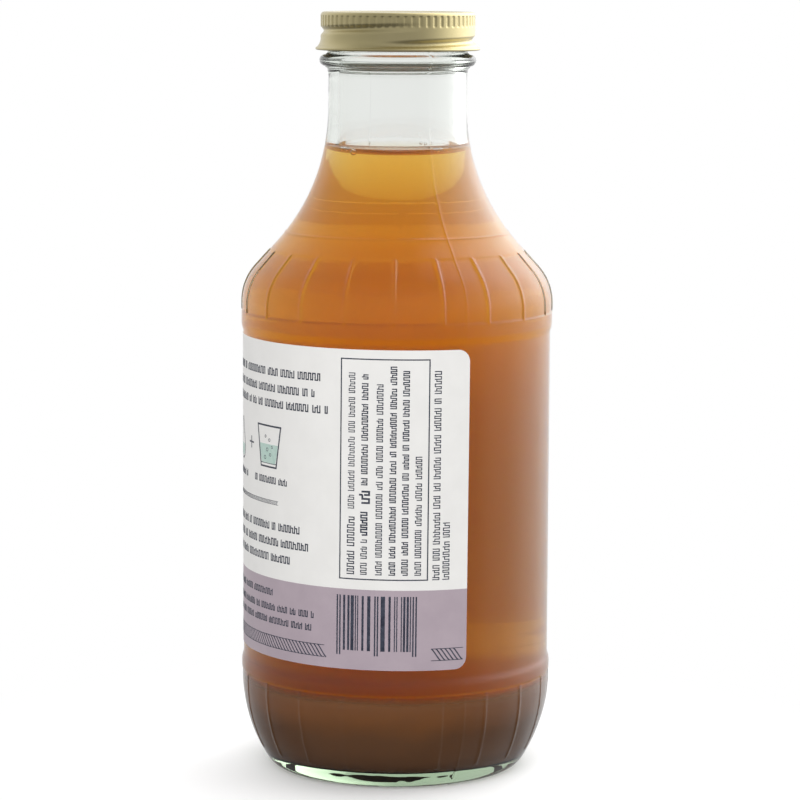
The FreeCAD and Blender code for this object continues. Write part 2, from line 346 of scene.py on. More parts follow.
def glass_relief(radius, height, angle, outside):
    """How far the outside of the glass stands proud of its outline, in millimetres."""
    from_rib = np.radians(np.abs(wrapped(angle - RIB_ANGLE, 360 / RIB_COUNT))) * radius
    rib = 1 - smooth(RIB_WIDTH / 2 - RIB_EDGE, RIB_WIDTH / 2 + RIB_EDGE, from_rib)
    on_shoulder = window(height, *SHOULDER_RIBS, 0.5)
    relief = on_shoulder * (RIB_HEIGHT * rib - SHOULDER_PANEL_DEPTH)
    relief = relief + window(height, *HEEL_RIBS, 0.6) * HEEL_RIB_HEIGHT * rib
    relief = relief + MOULD_LINE_HEIGHT * np.exp(-((height - MOULD_LINE) / MOULD_LINE_REACH) ** 2)
    bare = 1 - window(height, LABEL_LOW - 3, LABEL_HIGH + 1, 1)
    for seam in SEAM_ANGLES:
        off = np.radians(wrapped(angle - seam)) * radius
        relief = relief + SEAM_HEIGHT * np.exp(-(off / (SEAM_WIDTH / 2)) ** 2) * bare * (height > 2)
    ticks = (np.cos(np.radians(angle) * STIPPLE_COUNT) - 1) * (radius > STIPPLE_INSIDE)
    relief = relief + STIPPLE_DEPTH / 2 * ticks * window(height, -1, 0.25, 0.3)
    share, along = helix(height, angle, THREAD["level"], THREAD["pitch"], THREAD["height"] / 2, 0, 360)
    thread = np.sqrt(np.clip(1 - share ** 2, 0, 1)) * THREAD["depth"] * window(along, 4, 356, 8)
    relief = relief + np.where(height > BEAD[1], thread, 0)
    turn = np.radians(angle)
    wave = np.sin(height / 9.1 + 2 * turn) + np.sin(height / 4.7 - 3 * turn + 1)
    calm = 1 - window(height, LABEL_LOW - 2, LABEL_HIGH + 2, 3) * 0.9
    relief = relief + WAVINESS * (wave - 2) / 2 * calm * (height > 4)
    return np.where(outside, relief, 0)


def cap_relief(radius, height, angle, outside):
    """Knurls and the rolled thread, both pressed into the cap's wall."""
    pitch = 360 / KNURL_COUNT
    from_knurl = np.abs(wrapped(angle, pitch)) / (pitch * KNURL_SHARE / 2)
    band = window(height, CAP_TOP - KNURL_BAND[1], CAP_TOP - KNURL_BAND[0], 0.5)
    relief = -KNURL_DEPTH * np.sqrt(np.clip(1 - from_knurl ** 2, 0, 1)) * band
    share, along = helix(height, angle, GROOVE["level"], GROOVE["pitch"], GROOVE["reach"],
                         GROOVE_FADES[0], GROOVE_FADES[3])
    strength = smooth(*GROOVE_FADES[:2], along) * (1 - smooth(*GROOVE_FADES[2:], along))
    groove = GROOVE["depth"] * (0.5 + 0.5 * np.cos(pi * np.clip(share, 0, 1))) * strength
    above_curl = smooth(CAP_BOTTOM + CURL_THICKNESS, CAP_BOTTOM + CURL_THICKNESS + 0.8, height)
    on_wall = radius > CAP_WALL - 0.5
    return np.where(on_wall, (relief - groove * above_curl) * np.where(outside, 1, -1), 0)


# ---------------- meshes

def add_object(name, data):
    """A new object in the scene, which holds a mesh, a lamp or a camera."""
    thing = bpy.data.objects.new(name, data)
    bpy.context.scene.collection.objects.link(thing)
    return thing


def new_object(name, vertices, faces, node=None, materials=()):
    """A piece of the bottle, which stands in for a CAD node if one is named."""
    mesh = bpy.data.meshes.new(name)
    mesh.from_pydata([tuple(v) for v in vertices], [], faces)
    mesh.update()
    piece = add_object(name, mesh)
    for polygon in mesh.polygons:
        polygon.use_smooth = True
    for material in materials:
        mesh.materials.append(material)
    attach(piece, "root")
    if node:
        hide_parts(node)
    return piece


def revolved(outline, angles, relief=None):
    """Vertices, faces and each face's place along the outline, for an outline turned round the axis."""
    points = np.array(outline, float)
    points[[0, -1], 0] = 0
    slope = np.gradient(points, axis=0)
    length = np.hypot(*slope.T)
    normal = np.stack([slope[:, 1], -slope[:, 0]], axis=1) / length[:, None]
    highest = int(np.argmax(points[:, 1]))
    turn = np.radians(angles)[None, :]
    radius, height = points[:, :1], points[:, 1:]
    if relief is not None:
        outside = (np.arange(len(points)) <= highest)[:, None]
        lift = relief(radius, height, np.array(angles, float)[None, :], outside)
        radius = radius + lift * normal[:, :1]
        height = height + lift * normal[:, 1:]
    rings = np.stack([
        radius * np.sin(turn) + 0 * height,
        -radius * np.cos(turn) + 0 * height,
        height + 0 * turn,
    ], axis=2)
    rows, columns = len(points), len(angles)
    poles = [(0, 0, points[0, 1]), (0, 0, points[-1, 1])]
    vertices = np.concatenate([rings[1:-1].reshape(-1, 3), poles]) * MM
    first, last = len(vertices) - 2, len(vertices) - 1
    faces, bands = [], []
    for column in range(columns):
        following = (column + 1) % columns
        base = (rows - 3) * columns
        faces += [(first, following, column), (last, base + column, base + following)]
        bands += [0, rows - 2]
        for row in range(rows - 3):
            near, far = row * columns, (row + 1) * columns
            faces.append((near + column, near + following, far + following, far + column))
            bands.append(row + 1)
    return vertices, faces, bands


def glass_angles():
    """Columns close together at each rib and seam, and further apart between them."""
    steps = (0, 0.35, 0.6, 0.85, 1.2, 2.4, 4.4, 6.7)
    pitch = 360 / RIB_COUNT
    angles = set()
    for index in range(RIB_COUNT):
        rib = RIB_ANGLE + pitch * index
        angles.update(round((rib + side * step) % 360, 4) for step in steps for side in (-1, 1))
        angles.add(round((rib + pitch / 2) % 360, 4))
    for seam in SEAM_ANGLES:
        angles.update(round((seam + step) % 360, 4) for step in (-0.9, -0.55, -0.25, 0.25, 0.55, 0.9))
    return sorted(angles)


def even_angles(count):
    return [360 * index / count for index in range(count)]


def mark_index(piece, bands, outline, pick):
    """Gives each face the refractive index that `pick` says for its part of the outline."""
    index = [float(pick(band, outline[band], outline[band + 1])) for band in bands]
    piece.data.attributes.new("index", "FLOAT", "FACE").data.foreach_set("value", index)


def make_bottle(glass):
    outline = glass_outline()
    vertices, faces, bands = revolved(outline, glass_angles(), glass_relief)
    piece = new_object("glass_bottle", vertices, faces, "bottle", [glass])
    lip = outline.index(max(outline, key=lambda point: point[1]))

    def index(band, start, end):
        if band <= lip or end[1] >= FILL_LEVEL:
            return GLASS_INDEX
        return SUNK_INDEX if start[1] < SEDIMENT_TOP - 1 else GLASS_INDEX / DRINK_INDEX

    mark_index(piece, bands, outline, index)


def inner_radius(level, grow=0.0):
    """Radius of the inside of the glass at a height in the shoulder or neck."""
    points = sorted((z, r) for r, z in cavity(grow) if z > HEEL_HEIGHT)
    return float(np.interp(level, [z for z, r in points], [r for z, r in points]))


def make_drink(liquid):
    """The drink, up to the meniscus that climbs the wall, and down into the settled layer."""
    low = SEDIMENT_TOP - DRINK_DEPTH
    wall = [(r - DRINK_INSET * (1 - float(smooth(low, SEDIMENT_TOP, z))), z) for r, z in cavity(SEATING)
            if low < z < FILL_LEVEL - 0.01 and r > 10]
    foot = [(0, low), (12, low), (24, low), (wall[0][0] - 1, low)]
    edge = inner_radius(FILL_LEVEL)
    centre = FILL_LEVEL - MENISCUS_RISE
    depths = (0, 0.12, 0.3, 0.55, 0.85, 1.3, 1.9, 2.8, 4.2, 7)
    top = [(edge - d, centre + MENISCUS_RISE * exp(-d / MENISCUS_REACH)) for d in depths]
    rim = [(inner_radius(FILL_LEVEL, SEATING), FILL_LEVEL)]
    outline = joined(foot, wall, rim, top, [(0, centre)])
    vertices, faces, bands = revolved(outline, even_angles(180))
    piece = new_object("drink_liquid", vertices, faces, "drink", [liquid])
    rim_band = outline.index(rim[0])
    mark_index(piece, bands, outline, lambda band, start, end: 1.0 if band <= rim_band else DRINK_INDEX)


def make_sediment(cloud):
    """The settled layer, with a thin film that climbs the wall and fades out.

    It lies just inside the wall, as the glass mirrors it at a slant where the base shows pale, and
    clings to a ring of the glass floor, which shows as a dark streak in the base.
    """
    film_top = SEDIMENT_TOP + SEDIMENT_FILM
    inside, clinging = [p for p in cavity(-STUCK_SHIFT) if p[1] < film_top], cavity(STUCK_SHIFT)
    shell = [c if STUCK_RING[0] < p[0] < STUCK_RING[1] else p for p, c in zip(inside, clinging)]
    edge = shell[-1][0]
    rise = np.linspace(shell[-1][1], film_top, 6)[1:]
    rim = [(edge + 0.12 * (z - shell[-1][1]) / 4, z) for z in rise]
    inner = [(edge - 0.9, film_top - 0.6), (edge - 1.8, SEDIMENT_TOP - 0.5), (edge - 4, SEDIMENT_TOP - 1.1),
             (18, SEDIMENT_TOP - 1.3), (9, SEDIMENT_TOP - 1.2), (0, SEDIMENT_TOP - 1.2)]
    vertices, faces, _ = revolved(joined(shell, rim, inner), even_angles(180))
    new_object("settled_sediment", vertices, faces, "sediment", [cloud])


def cap_outline():
    """Inside top, inner wall, rolled edge, flared skirt, wall and top of the cap."""
    inside = CAP_WALL - CAP_SHEET
    curl = CURL_THICKNESS / 2
    flare_top = CAP_BOTTOM + CURL_THICKNESS + FLARE_HEIGHT
    skirt = [(CAP_WALL + (CURL_RADIUS - 0.35 - CAP_WALL) * (1 - t) ** 2.4,
              CAP_BOTTOM + CURL_THICKNESS + FLARE_HEIGHT * t) for t in np.linspace(0.04, 1, 12)]
    levels = np.arange(flare_top + 0.25, CAP_TOP - CAP_CORNER - 0.05, 0.16)
    return joined(
        [(0, CAP_TOP - CAP_SHEET), (9, CAP_TOP - CAP_SHEET)],
        rounded([(14, CAP_TOP - CAP_SHEET), (inside, CAP_TOP - CAP_SHEET), (inside, CAP_TOP - 1)], 0.3),
        rising(inside, np.arange(CAP_BOTTOM + 0.5, CAP_TOP - 0.9, 0.3))[::-1],
        rounded([(inside, CAP_BOTTOM + 0.4), (inside, CAP_BOTTOM + 0.1), (inside + 0.5, CAP_BOTTOM)], 0.1),
        [(CURL_RADIUS - 0.9, CAP_BOTTOM)],
        arc((CURL_RADIUS - curl, CAP_BOTTOM + curl), curl, -90, 80, 20),
        skirt, rising(CAP_WALL, levels),
        arc((CAP_WALL - CAP_CORNER, CAP_TOP - CAP_CORNER), CAP_CORNER, 0, 90, 10),
        [(CAP_RIM - inward, CAP_TOP - CAP_SINK * share)
         for inward, share in ((0, 0), (0.4, 0.25), (0.7, 0.8), (1.1, 1), (7.6, 1), (CAP_RIM, 1))],
    )


def make_cap(gold, lining):
    """The cap, gold outside and pale inside."""
    outline = cap_outline()
    inner = next(i for i, p in enumerate(outline) if p[1] < CAP_BOTTOM + 0.01)
    outer_rows = (np.arange(len(outline)) > inner)[:, None]

    def relief(radius, height, angle, outside):
        return cap_relief(radius, height, angle, outer_rows)

    vertices, faces, bands = revolved(outline, even_angles(KNURL_COUNT * 8), relief)
    piece = new_object("screw_cap", vertices, faces, "cap", [gold, lining])
    for polygon, band in zip(piece.data.polygons, bands):
        polygon.material_index = int(band < inner - 1)


# ---------------- label

def on_label(along, level, lift=0.0):
    """A point on the label's face, from a place along the paper and a height, in metres."""
    askew = along + LABEL_TILT * (level - 70)
    height = level - LABEL_TILT * max(along, TILT_ENDS_AT)
    radius = LABEL_RADIUS + lift
    turn = askew / LABEL_RADIUS
    return (radius * sin(turn) * MM, -radius * cos(turn) * MM, height * MM)


def label_columns():
    """Places along the paper, close together at its rounded ends."""
    left, right = LABEL_ENDS
    ends = [0, 0.06, 0.2, 0.45, 0.8, 1.25, 1.8, 2.4, LABEL_CORNER]
    middle = np.linspace(left + LABEL_CORNER, right - LABEL_CORNER, 150)[1:-1]
    return [left + e for e in ends] + list(middle) + [right - e for e in ends[::-1]]


def label_inset(along):
    """How far the rounded corners cut the label at a place along the paper."""
    from_end = min(along - LABEL_ENDS[0], LABEL_ENDS[1] - along)
    short = max(LABEL_CORNER - from_end, 0)
    return LABEL_CORNER - sqrt(LABEL_CORNER ** 2 - short ** 2)


def make_label(papers):
    """One sheet of paper: face (0) with its lower field (1), glued back (2) and edges (0).

    Each column is a ring of points, up the face and down the back.
    """
    columns = label_columns()
    shares = [0, 0.25, 0.5, 0.75, 1]
    rows = 2 * len(shares) - 1
    stride = 2 * rows
    vertices, faces, tones = [], [], []
    for along in columns:
        inset = label_inset(along)
        low, high = LABEL_LOW + inset, LABEL_HIGH - inset
        levels = [low + (BAND_TOP - low) * s for s in shares]
        levels += [BAND_TOP + (high - BAND_TOP) * s for s in shares[1:]]
        vertices += [on_label(along, level) for level in levels]
        vertices += [on_label(along, level, -LABEL_THICKNESS) for level in levels[::-1]]
    face_tones = [1] * (len(shares) - 1) + [0] * len(shares)
    back_tones = [2] * (rows - 1) + [0]
    for near in range(0, stride * (len(columns) - 1), stride):
        for place in range(stride):
            following = (place + 1) % stride
            far = near + stride
            faces.append((near + place, far + place, far + following, near + following))
        tones += face_tones + back_tones
    last = (len(columns) - 1) * stride
    for row in range(rows - 1):
        end = (row, row + 1, stride - 2 - row, stride - 1 - row)
        faces += [end, tuple(last + corner for corner in end[::-1])]
        tones += [0, 0]
    piece = new_object("wrap_label", vertices, faces, "label", papers)
    for polygon, tone in zip(piece.data.polygons, tones):
        polygon.material_index = tone
    mark_sharp_edges(piece)


def mark_sharp_edges(piece):
    """Keeps the edges of a thin piece sharp, as its faces are shaded smooth."""
    piece.data.set_sharp_from_angle(angle=radians(40))


class Ink:
    """Print in one colour: thin raised shapes on the label, gathered into one mesh."""

    def __init__(self, name, material):
        self.name, self.material = name, material
        self.vertices, self.faces = [], []

    def ribbon(self, points, widths, across=None):
        """A band along a line of points, square to it or leaning `across`.

        `widths` is one number, or one for each point.
        """
        points = np.array(points, float)
        if across is None:
            slope = np.gradient(points, axis=0)
            across = np.stack([-slope[:, 1], slope[:, 0]], axis=1)
            across /= np.linalg.norm(across, axis=1)[:, None]
        sides = across * np.broadcast_to(widths, len(points))[:, None] / 2
        start = len(self.vertices)
        for point, side in zip(points, sides):
            for lift in (INK_LIFT, -INK_DEPTH):
                self.vertices += [on_label(*(point - side), lift), on_label(*(point + side), lift)]
        end = len(self.vertices) - 4
        for a in range(start, end, 4):
            b = a + 4
            self.faces += [(a, b, b + 1, a + 1), (a + 2, a + 3, b + 3, b + 2),
                           (a, a + 2, b + 2, b), (a + 1, b + 1, b + 3, a + 3)]
        self.faces += [(start, start + 1, start + 3, start + 2), (end, end + 2, end + 3, end + 1)]

    def bar(self, left, right, level, width):
        """A level bar, in steps short enough to follow the round of the bottle."""
        steps = max(1, ceil((right - left) / 1.5))
        self.ribbon([(x, level) for x in np.linspace(left, right, steps + 1)], width)

    def column(self, centre, low, high, width):
        self.ribbon([(centre, low), (centre, high)], width)

    def field(self, outline, step=0.5):
        """A filled shape, in upright slices that follow the round of the bottle."""
        corners = np.array(outline, float)
        following = np.roll(corners, -1, axis=0)
        left, right = corners[:, 0].min(), corners[:, 0].max()
        places, heights = [], []
        for x in np.linspace(left + 1e-3, right - 1e-3, max(4, ceil((right - left) / step))):
            crossing = (corners[:, 0] <= x) != (following[:, 0] <= x)
            start, end = corners[crossing], following[crossing]
            levels = start[:, 1] + (end[:, 1] - start[:, 1]) * (x - start[:, 0]) / (end[:, 0] - start[:, 0])
            places.append((x, (levels.min() + levels.max()) / 2))
            heights.append(max(levels.max() - levels.min(), 0.02))
        self.ribbon(places, heights, across=np.array([0, 1]))

    def ring(self, centre, radius, width, count=48):
        turns = np.linspace(0, 2 * pi, count + 1)
        self.ribbon([(centre[0] + radius * cos(t), centre[1] + radius * sin(t)) for t in turns], width)

    def build(self):
        mark_sharp_edges(new_object(self.name, self.vertices, self.faces, None, [self.material]))


def greeked_row(ink, chance, first, last, level, size, upright=False, weight=0.17):
    """A row of meanders in word-like groups, which holds no letters. It runs right, or up the label."""

    def stroke(start, end):
        points = [(-z, x) if upright else (x, z) for x, z in (start, end)]
        ink.ribbon(points, size * weight)

    place, pitch = first, size * 0.33
    low, thick = level - size / 2, size * weight / 2
    while place < last - pitch:
        strokes = min(chance.choice((3, 4, 6, 7, 8, 10, 12, 14, 17)), int((last - place) / pitch) + 1)
        before = None
        for index in range(strokes):
            tall = size * chance.choice((1.0, 1.0, 1.0, 0.78))
            stroke((place, low), (place, low + tall))
            if before is not None:
                edge = low + thick if index % 2 else low + min(tall, before) - thick
                stroke((place - pitch, edge), (place, edge))
            before = tall
            place += pitch * chance.uniform(0.85, 1.15)
        place += size * 0.42


def frame_box(ink, left, right, low, high, line):
    for level in (low + line / 2, high - line / 2):
        ink.bar(left, right, level, line)
    for centre in (left + line / 2, right - line / 2):
        ink.column(centre, low, high, line)


def facts_panel(ink, chance):
    """A framed panel of upright rows beside two more rows."""
    frame_box(ink, -13.8, 8.0, 53.2, 106.9, 0.3)
    rows = (
        (-10.95, 54.6, 69.0, 1.9, 0.14), (-10.95, 70.6, 103.4, 1.6, 0.13),
        (-7.7, 54.6, 63.2, 1.6, 0.15), (-7.7, 64.2, 71.4, 1.8, 0.2), (-7.6, 72.0, 75.2, 2.7, 0.17),
        (-7.7, 76.4, 103.2, 1.6, 0.17),
        (-4.05, 54.6, 100.8, 1.6, 0.15), (-0.8, 54.6, 105.2, 1.6, 0.17),
        (2.25, 54.6, 105.2, 1.6, 0.17), (5.45, 54.6, 83.6, 1.6, 0.15),
        (9.95, 53.4, 104.0, 1.75, 0.14), (12.45, 53.4, 67.4, 1.75, 0.14),
    )
    for centre, first, last, size, weight in rows:
        greeked_row(ink, chance, first, last, -centre, size, True, weight)


def story_panel(ink, chance):
    """Rows of greeked text above and below two small pictures."""
    middle = -46
    for level, half in ((101.8, 26.7), (97.8, 25.6), (94.0, 29.0), (63.8, 21.3), (59.9, 23.6), (56.0, 18.5)):
        greeked_row(ink, chance, middle - half, middle + half, level, 1.9)
    for left, right in ((-62.5, -48.5), (-43.2, -29.2)):
        greeked_row(ink, chance, left, right, 75.0, 1.7)
    hatched_rule(ink, -60.0, -32.4, 69.6)


def hatched_rule(ink, left, right, level):
    """A pair of fine lines with close hatching between them."""
    half = 0.45
    for edge in (-half, half):
        ink.bar(left, right, level + edge, 0.1)
    for x in np.arange(left, right - 0.4, 0.42):
        ink.ribbon([(x, level - half), (x + 0.4, level + half)], 0.13)


def plus_sign(ink, centre, size, line):
    along, level = centre
    ink.bar(along - size / 2, along + size / 2, level, line)
    ink.column(along, level - size / 2, level + size / 2, line)


def tumbler(ink, fill, centre, low, high):
    """A plain drinking glass in outline, part filled, with bubbles."""
    foot, mouth, line = 3.3, 5.0, 0.42
    deep = low + (high - low) * 0.55

    def half(level):
        return foot + (mouth - foot) * (level - low) / (high - low)

    inset, bottom = 0.3, low + 0.9
    fill.field([(centre - half(bottom) + inset, bottom), (centre + half(bottom) - inset, bottom),
                (centre + half(deep) - inset, deep), (centre - half(deep) + inset, deep)])
    for side in (-1, 1):
        ink.ribbon([(centre + side * half(z), z) for z in np.linspace(high, low, 5)], line)
    edge = line / 2
    for reach, level, width in ((foot + edge, low, line), (half(bottom), low + 0.875, 0.25),
                                (mouth + edge, high, line)):
        ink.bar(centre - reach, centre + reach, level, width)
    bubbles = ((-1.4, 2.2, 0.42), (0.9, 3.0, 0.34), (-0.4, 4.2, 0.4), (1.6, 4.9, 0.3), (0.5, 6.6, 0.34),
               (-1.2, 7.4, 0.3))
    for x, z, size in bubbles:
        ink.ring((centre + x, low + z), size, 0.16, 14)


def droplet(ink, fill, centre, low, high):
    """A plain drop shape, outlined and filled."""
    turns = np.linspace(0, 2 * pi, 37)
    radius = (high - low) * 0.3
    middle = low + radius

    def edge(t, scale):
        point = max(sin(t), 0)
        pull = point ** 3 * (high - low - 2 * radius)
        return (centre + scale * radius * cos(t) * (1 - 0.35 * point ** 2),
                middle + scale * (radius * sin(t) + pull))

    ink.ribbon([edge(t - pi / 2, 1) for t in turns], 0.42)
    lower = [edge(t, 0.8) for t in np.linspace(pi, 2 * pi, 15)]
    fill.field([(lower[0][0], middle + 0.6)] + lower + [(lower[-1][0], middle + 0.6)])


def rope_border(ink, left, right, level, height=2.9):
    """A twisted-rope ornament: leaning strokes whose ends curl along two fine lines."""
    lean, hook, pitch = 1.35, 0.55, 1.12
    for edge in (level, level + height):
        ink.bar(left, right, edge, 0.16)
    for x in np.arange(left, right - lean - hook, pitch):
        shares = np.linspace(0, 1, 9)
        slide = [hook * 2 * s + lean * (3 * s * s - 2 * s ** 3) for s in shares]
        fall = [height * (0.5 + 0.5 * cos(pi * s)) for s in shares]
        ink.ribbon([(x + a, level + b) for a, b in zip(slide, fall)], 0.3)


def stripe_code(ink, chance, left, right, low, high, guard):
    """Upright stripes of chance widths, with longer pairs at the ends and in the middle."""
    unit = (right - left) / 71
    middle = (left + right) / 2
    pairs = (left, left + 2.6 * unit, middle - unit, middle + 1.4 * unit, right - 2.6 * unit, right)
    for centre in pairs:
        ink.column(centre, low - guard, high, unit * 1.3)
    for first, last in ((left + 5.5 * unit, middle - 4 * unit), (middle + 4 * unit, right - 5.5 * unit)):
        place = first
        while place < last:
            wide = unit * chance.choice((1, 1, 2, 2, 3, 4))
            wide = min(wide, last - place + unit)
            ink.column(place + wide / 2, low, high, wide * 0.96)
            place += wide + unit * chance.choice((1, 1, 1, 2, 2, 3))


def sprig(ink, fill, centre, low, high):
    """A stem with pairs of plain leaves, as an ornament for the front panel."""
    ink.ribbon([(centre, z) for z in np.linspace(low, high - 3, 9)], 0.4)
    count = 5
    for index in range(count):
        root = low + 3 + (high - low - 8) * index / count
        size = 8.5 - index * 1.05
        for side in (-1, 1):
            leaf(ink, fill, (centre, root), side, size, 38)
    leaf(ink, fill, (centre, high - 5), 1, 5, 90)


def leaf(ink, fill, root, side, size, rise):
    """One leaf in outline with a filled blade and a mid-rib."""
    turn = radians(rise)
    shares = np.linspace(0.02, 0.98, 9)
    spine = [(root[0] + side * cos(turn) * size * s, root[1] + sin(turn) * size * s) for s in shares]
    widths = [size * 0.42 * sin(pi * s ** 0.85) for s in shares]
    edges = []
    for edge in (-1, 1):
        edges.append([(x - edge * sin(turn) * side * w / 2, z + edge * cos(turn) * w / 2)
                      for (x, z), w in zip(spine, widths)])
        ink.ribbon(edges[-1], 0.26)
    fill.field(edges[0] + edges[1][::-1])
    ink.ribbon(spine[:-1], 0.14)


def front_panel(ink, fill, chance):
    """The side turned away: a ring with a sprig in it over plain rows."""
    centre = -112.0
    ink.ring((centre, 83.5), 19.5, 0.45, 96)
    ink.ring((centre, 83.5), 18.6, 0.18, 96)
    sprig(ink, fill, centre, 69.0, 99.0)
    for level, half, size in ((58.8, 19, 2.6), (54.6, 14, 1.6)):
        greeked_row(ink, chance, centre - half, centre + half, level, size)
    greeked_row(ink, chance, centre - 12, centre + 12, 43.5, 2.2)
    rope_border(ink, centre - 28, centre + 28, 33.4)
    for level in range(100, 56, -4):
        greeked_row(ink, chance, -164.5, -141 - chance.uniform(0, 5), level, 1.6)


def print_label(navy, mint):
    """All the print, in a navy and a mint ink. It holds no writing."""
    chance = random.Random(7)
    ink, fill = Ink("label_print_navy", navy), Ink("label_print_mint", mint)
    facts_panel(ink, chance)
    story_panel(ink, chance)
    plus_sign(ink, (-45.7, 83.2), 3.0, 0.42)
    tumbler(ink, fill, -36.6, 78.2, 88.3)
    droplet(ink, fill, -54.8, 78.0, 88.3)
    for level, right in ((47.3, -34.4), (43.6, -20.5), (40.4, -20.9)):
        greeked_row(ink, chance, -60, right, level, 1.65)
    stripe_code(ink, chance, -14.2, 5.2, 35.8, 49.3, 1.2)
    rope_border(ink, -80, -17.6, 33.6)
    rope_border(ink, 9.0, 17.2, 33.5)
    front_panel(ink, fill, chance)
    ink.build()
    fill.build()


# ---------------- small details

# Angle round the bottle, radius, and height above the drink's edge
BUBBLES = ((-57, 0.6, -0.3), (-53, 0.42, -0.1), (-50, 0.55, -0.3), (-46.5, 0.4, -0.2), (-42.5, 0.85, -0.9),
           (35, 0.5, -0.2), (38.5, 0.6, -0.3), (42, 0.4, -0.1), (150, 0.5, -0.5), (146, 0.36, -0.4),
           (155, 0.42, -0.4), (-150, 0.3, -0.3), (88, 0.3, -0.3), (-100, 0.4, -0.4), (-12, 0.24, -0.3))


def make_bubbles(film):
    """Small bubbles left against the glass at the drink's edge, joined into one mesh."""
    rings, spokes = 10, 16
    vertices, faces = [], []
    for angle, size, rise in BUBBLES:
        level = FILL_LEVEL + rise
        reach = inner_radius(level) - size * 0.92
        centre = np.array([reach * sin(radians(angle)), -reach * cos(radians(angle)), level])
        outline = [(size * sin(pi * k / rings), -size * cos(pi * k / rings)) for k in range(rings + 1)]
        ball, sides, _ = revolved(outline, even_angles(spokes))
        start = len(vertices)
        vertices += [tuple(v + centre * MM) for v in ball]
        faces += [tuple(start + i for i in face) for face in sides]
    new_object("edge_bubbles", vertices, faces, None, [film])


# ---------------- materials

WHITE = (1, 1, 1, 1)


def feed(socket, value):
    """Gives an input a plain value, or joins it to an output or to a node's first output."""
    if isinstance(value, bpy.types.Node):
        value = next(output for output in value.outputs if output.enabled)
    if isinstance(value, bpy.types.NodeSocket):
        socket.id_data.links.new(value, socket)
    else:
        socket.default_value = value


def put(node, **values):
    """Sets a node's options, whose names are in small letters, and feeds its inputs."""
    for name, value in values.items():
        if name.islower():
            setattr(node, name, value)
        else:
            feed(node.inputs[name.replace("_", " ")], value)
    return node


def add(nodes, kind, *values, **named):
    """A new shader node, whose inputs take `values` in order."""
    node = nodes.new("ShaderNode" + kind)
    for socket, value in zip(node.inputs, values):
        feed(socket, value)
    return put(node, **named)


def new_material(recipe, *settings, name=None):
    """A material made by a recipe, which is a function of its nodes and its main shader."""
    material = bpy.data.materials.new(name or recipe.__name__)
    material.use_nodes = True
    nodes = material.node_tree.nodes
    recipe(nodes, nodes["Principled BSDF"], *settings)
    return material


def calculate(nodes, operation, *values):
    return add(nodes, "Math", *values, operation=operation)


def spread(nodes, value, low, high, start=0.0, end=1.0, curve="LINEAR"):
    """A value that goes from `low` to `high` as another goes from `start` to `end`."""
    return add(nodes, "MapRange", interpolation_type=curve, Value=value,
               From_Min=start, From_Max=end, To_Min=low, To_Max=high)


def coordinates(nodes, kind="Object"):
    return add(nodes, "TexCoord").outputs[kind]


def noise(nodes, scale, detail=4.0, roughness=0.5, stretch=(1, 1, 1)):
    place = add(nodes, "Mapping", Vector=coordinates(nodes), Scale=stretch)
    return add(nodes, "TexNoise", Vector=place, Scale=scale, Detail=detail, Roughness=roughness)


def ramp(nodes, value, stops):
    """A colour ramp with (place, colour) stops."""
    node = add(nodes, "ValToRGB", Fac=value)
    while len(node.color_ramp.elements) < len(stops):
        node.color_ramp.elements.new(0.5)
    for element, (place, colour) in zip(node.color_ramp.elements, stops):
        element.position = place
        element.color = (*colour, 1)
    return node


def blended(nodes, share, first, second):
    """From one colour to another."""
    return add(nodes, "Mix", data_type="RGBA", Factor=share, A=first, B=second)


def bump(nodes, principled, value, strength, distance):
    put(principled, Normal=add(nodes, "Bump", Height=value, Strength=strength, Distance=distance))


def absorption(nodes, per_metre):
    """A volume that absorbs red, green and blue at these rates per metre."""
    density = max(per_metre) * 1.02
    colour = (*[1 - rate / density for rate in per_metre], 1)
    return add(nodes, "VolumeAbsorption", Color=colour, Density=density)


def let_lamps_through(nodes, principled, tint=WHITE):
    """Rays from the lamps pass this clear piece straight, so that they light what is behind it."""
    shadow = add(nodes, "LightPath").outputs["Is Shadow Ray"]
    surface = add(nodes, "MixShader", shadow, principled, add(nodes, "BsdfTransparent", Color=tint))
    put(nodes["Material Output"], Surface=surface)


def refraction(nodes, principled, index):
    """A clear piece, with the refractive index that its faces hold; `index` is its usual one."""
    put(principled, Base_Color=WHITE, IOR=index, Transmission_Weight=1.0)
    put(principled, IOR=add(nodes, "Attribute", attribute_name="index").outputs["Fac"])


def flint_glass(nodes, principled):
    refraction(nodes, principled, GLASS_INDEX)
    bump(nodes, principled, noise(nodes, 90.0, 2.0), 0.22, 0.0004)
    put(principled, Roughness=spread(nodes, noise(nodes, 45.0, 6.0, 0.6), 0.0, 0.03))
    put(nodes["Material Output"], Volume=absorption(nodes, (13.0, 8.5, 14.5)))
    let_lamps_through(nodes, principled, (0.96, 0.97, 0.96, 1))


def amber_drink(nodes, principled):
    """Amber by absorption, and a little cloudy by scattering that goes mostly forward."""
    refraction(nodes, principled, DRINK_INDEX)
    put(principled, Roughness=0.0)
    bump(nodes, principled, noise(nodes, 60.0, 1.0), 0.02, 0.0002)
    cloud = add(nodes, "VolumeScatter", Color=(1.0, 0.7, 0.3, 1), Density=45.0, Anisotropy=0.85)
    both = add(nodes, "AddShader", absorption(nodes, (4.5, 26.0, 98.0)), cloud)
    put(nodes["Material Output"], Volume=both)
    let_lamps_through(nodes, principled)


